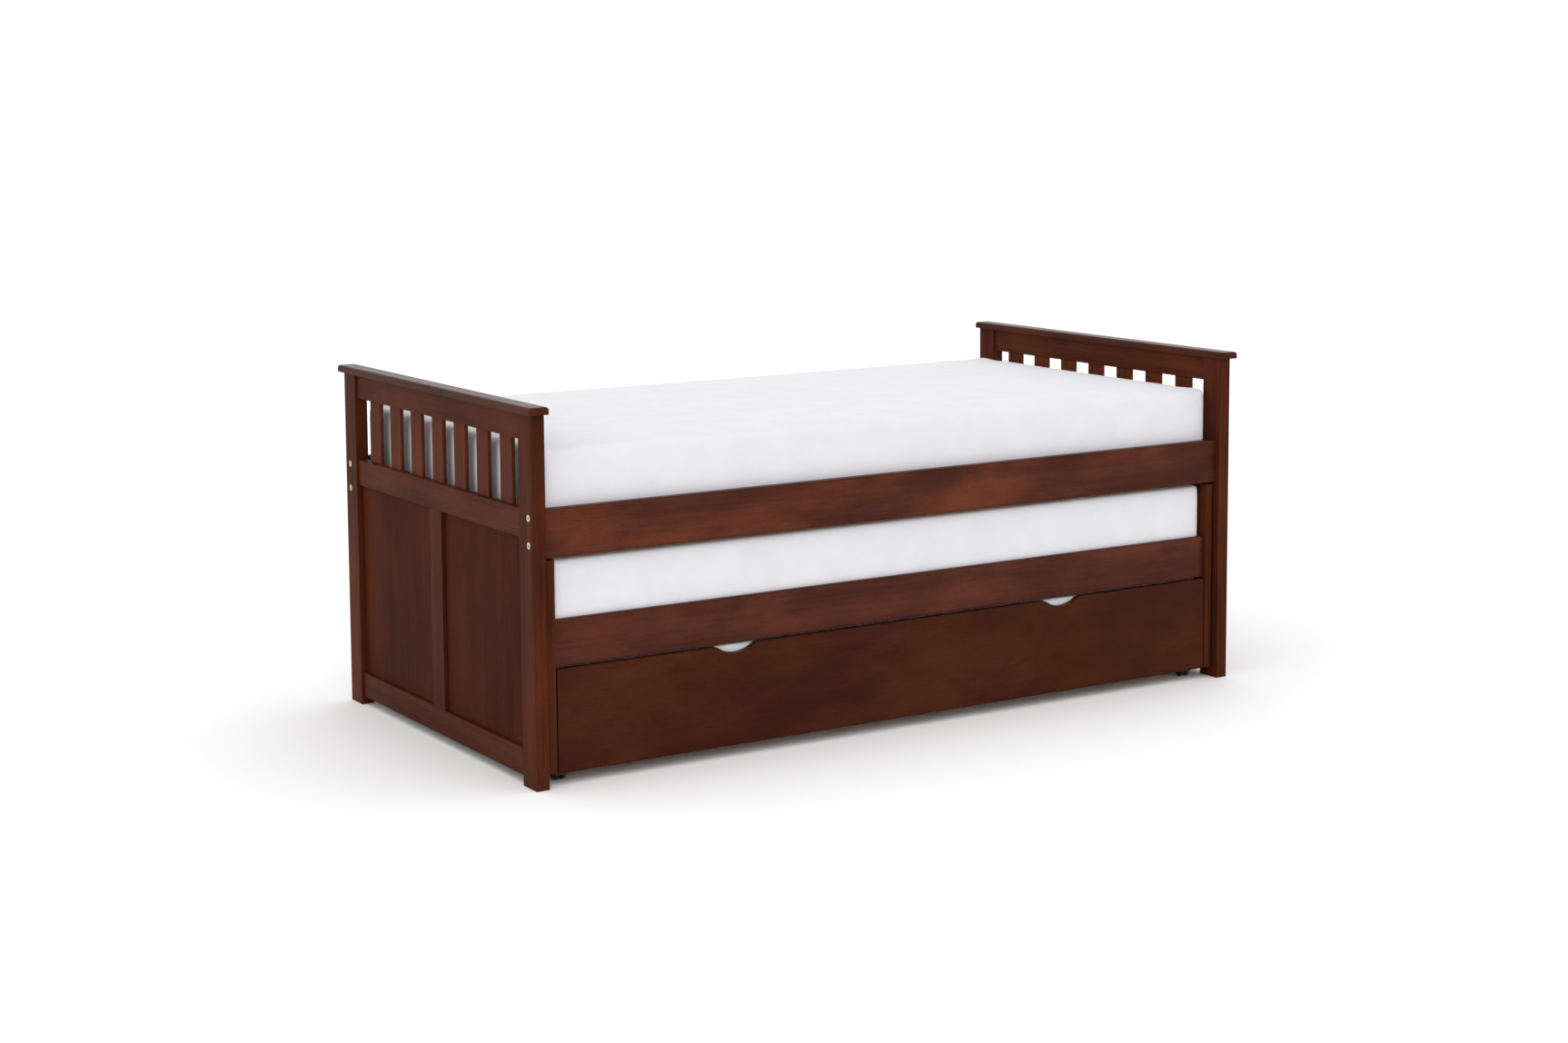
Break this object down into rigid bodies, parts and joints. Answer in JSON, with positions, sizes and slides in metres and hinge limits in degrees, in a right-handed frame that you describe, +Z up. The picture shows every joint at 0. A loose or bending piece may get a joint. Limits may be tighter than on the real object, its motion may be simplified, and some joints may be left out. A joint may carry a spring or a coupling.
{
  "type": "trundle bed",
  "caption": "Dark cherry captain's bed with slatted end panels, a pull-out bed beneath the mattress and a flat-fronted trundle drawer nested inside it on casters.",
  "frame": {"origin": "on the floor under the middle of the bed, at the bottom centre of its bounding box", "axes": "+X along the bed to the right-hand end panel seen from the front, +Y across the bed from the front to the back, +Z up"},
  "size_m": [2.069, 1.09, 0.869],
  "materials": {
    "cherry_frame": "satin dark cherry stain",
    "cherry_rail": "satin dark cherry stain, red-brown",
    "cherry_front": "satin dark cherry stain on fine-grained board",
    "cherry_panel": "satin dark cherry stain on plywood",
    "slat_pine": "planed, unvarnished",
    "bolt_metal": "satin nickel",
    "zinc_hardware": "zinc plated",
    "caster_steel": "zinc plated",
    "caster_hood": "moulded black nylon",
    "caster_wheel": "moulded black nylon",
    "mattress_cover": "plain white knitted cover"
  },
  "bodies": {
    "bed_frame": {"left_front_post": "cherry_frame", "left_back_post": "cherry_frame", "right_front_post": "cherry_frame", "right_back_post": "cherry_frame", "left_cap_rail": "cherry_frame", "right_cap_rail": "cherry_frame", "left_crest_rail": "cherry_frame", "right_crest_rail": "cherry_frame", "left_spindles": "cherry_frame", "right_spindles": "cherry_frame", "left_mid_rail": "cherry_frame", "right_mid_rail": "cherry_frame", "panel_stiles": "cherry_frame", "lower_panels": "cherry_panel", "left_bottom_rail": "cherry_frame", "right_bottom_rail": "cherry_frame", "front_side_rail": "cherry_rail", "back_side_rail": "cherry_rail", "bed_ledgers": "slat_pine", "bed_slats": "slat_pine", "bed_slat_screws": "zinc_hardware", "bed_bolts": "bolt_metal", "bed_barrel_nuts": "zinc_hardware", "upper_mattress": "mattress_cover"},
    "pullout_bed": {"pullout_front_posts": "cherry_frame", "pullout_back_posts": "cherry_frame", "pullout_end_rails": "cherry_rail", "pullout_front_rail": "cherry_rail", "pullout_back_rail": "cherry_rail", "pullout_runners": "cherry_frame", "pullout_ledgers": "slat_pine", "pullout_slats": "slat_pine", "pullout_slat_screws": "zinc_hardware", "pullout_bolts": "bolt_metal", "pullout_barrel_nuts": "zinc_hardware", "pullout_caster_plates": "caster_steel", "middle_mattress": "mattress_cover"},
    "trundle_drawer": {"drawer_front": "cherry_front", "drawer_long_rails": "cherry_frame", "drawer_cross_rails": "cherry_frame", "drawer_slats": "slat_pine", "drawer_screws": "zinc_hardware", "drawer_caster_plates": "caster_steel", "lower_mattress": "mattress_cover"},
    "pullout_left_front_swivel": {"pullout_left_front_hood": "caster_hood"},
    "pullout_left_front_roller": {"pullout_left_front_wheels": "caster_wheel"},
    "pullout_left_back_swivel": {"pullout_left_back_hood": "caster_hood"},
    "pullout_left_back_roller": {"pullout_left_back_wheels": "caster_wheel"},
    "pullout_right_front_swivel": {"pullout_right_front_hood": "caster_hood"},
    "pullout_right_front_roller": {"pullout_right_front_wheels": "caster_wheel"},
    "pullout_right_back_swivel": {"pullout_right_back_hood": "caster_hood"},
    "pullout_right_back_roller": {"pullout_right_back_wheels": "caster_wheel"},
    "drawer_left_front_swivel": {"drawer_left_front_hood": "caster_hood"},
    "drawer_left_front_roller": {"drawer_left_front_wheels": "caster_wheel"},
    "drawer_left_back_swivel": {"drawer_left_back_hood": "caster_hood"},
    "drawer_left_back_roller": {"drawer_left_back_wheels": "caster_wheel"},
    "drawer_right_front_swivel": {"drawer_right_front_hood": "caster_hood"},
    "drawer_right_front_roller": {"drawer_right_front_wheels": "caster_wheel"},
    "drawer_right_back_swivel": {"drawer_right_back_hood": "caster_hood"},
    "drawer_right_back_roller": {"drawer_right_back_wheels": "caster_wheel"}
  },
  "joints": [
    {"name": "pullout_bed_slide", "type": "slide", "parent": "bed_frame", "child": "pullout_bed", "axis": [0, -1, 0], "range_m": [0, 1]},
    {"name": "trundle_drawer_slide", "type": "slide", "parent": "pullout_bed", "child": "trundle_drawer", "axis": [0, -1, 0], "range_m": [0, 1]},
    {"name": "pullout_left_front_swivel_turn", "type": "hinge", "parent": "pullout_bed", "child": "pullout_left_front_swivel", "pos_m": [-0.932, -0.461, 0.04], "axis": [0, 0, 1], "continuous": true},
    {"name": "pullout_left_front_roller_turn", "type": "hinge", "parent": "pullout_left_front_swivel", "child": "pullout_left_front_roller", "pos_m": [-0.932, -0.453, 0.016], "axis": [1, 0, 0], "continuous": true},
    {"name": "pullout_left_back_swivel_turn", "type": "hinge", "parent": "pullout_bed", "child": "pullout_left_back_swivel", "pos_m": [-0.932, 0.461, 0.04], "axis": [0, 0, 1], "continuous": true},
    {"name": "pullout_left_back_roller_turn", "type": "hinge", "parent": "pullout_left_back_swivel", "child": "pullout_left_back_roller", "pos_m": [-0.932, 0.469, 0.016], "axis": [1, 0, 0], "continuous": true},
    {"name": "pullout_right_front_swivel_turn", "type": "hinge", "parent": "pullout_bed", "child": "pullout_right_front_swivel", "pos_m": [0.932, -0.461, 0.04], "axis": [0, 0, 1], "continuous": true},
    {"name": "pullout_right_front_roller_turn", "type": "hinge", "parent": "pullout_right_front_swivel", "child": "pullout_right_front_roller", "pos_m": [0.932, -0.453, 0.016], "axis": [1, 0, 0], "continuous": true},
    {"name": "pullout_right_back_swivel_turn", "type": "hinge", "parent": "pullout_bed", "child": "pullout_right_back_swivel", "pos_m": [0.932, 0.461, 0.04], "axis": [0, 0, 1], "continuous": true},
    {"name": "pullout_right_back_roller_turn", "type": "hinge", "parent": "pullout_right_back_swivel", "child": "pullout_right_back_roller", "pos_m": [0.932, 0.469, 0.016], "axis": [1, 0, 0], "continuous": true},
    {"name": "drawer_left_front_swivel_turn", "type": "hinge", "parent": "trundle_drawer", "child": "drawer_left_front_swivel", "pos_m": [-0.865, -0.343, 0.04], "axis": [0, 0, 1], "continuous": true},
    {"name": "drawer_left_front_roller_turn", "type": "hinge", "parent": "drawer_left_front_swivel", "child": "drawer_left_front_roller", "pos_m": [-0.865, -0.335, 0.016], "axis": [1, 0, 0], "continuous": true},
    {"name": "drawer_left_back_swivel_turn", "type": "hinge", "parent": "trundle_drawer", "child": "drawer_left_back_swivel", "pos_m": [-0.865, 0.343, 0.04], "axis": [0, 0, 1], "continuous": true},
    {"name": "drawer_left_back_roller_turn", "type": "hinge", "parent": "drawer_left_back_swivel", "child": "drawer_left_back_roller", "pos_m": [-0.865, 0.351, 0.016], "axis": [1, 0, 0], "continuous": true},
    {"name": "drawer_right_front_swivel_turn", "type": "hinge", "parent": "trundle_drawer", "child": "drawer_right_front_swivel", "pos_m": [0.865, -0.343, 0.04], "axis": [0, 0, 1], "continuous": true},
    {"name": "drawer_right_front_roller_turn", "type": "hinge", "parent": "drawer_right_front_swivel", "child": "drawer_right_front_roller", "pos_m": [0.865, -0.335, 0.016], "axis": [1, 0, 0], "continuous": true},
    {"name": "drawer_right_back_swivel_turn", "type": "hinge", "parent": "trundle_drawer", "child": "drawer_right_back_swivel", "pos_m": [0.865, 0.343, 0.04], "axis": [0, 0, 1], "continuous": true},
    {"name": "drawer_right_back_roller_turn", "type": "hinge", "parent": "drawer_right_back_swivel", "child": "drawer_right_back_roller", "pos_m": [0.865, 0.351, 0.016], "axis": [1, 0, 0], "continuous": true}
  ]
}
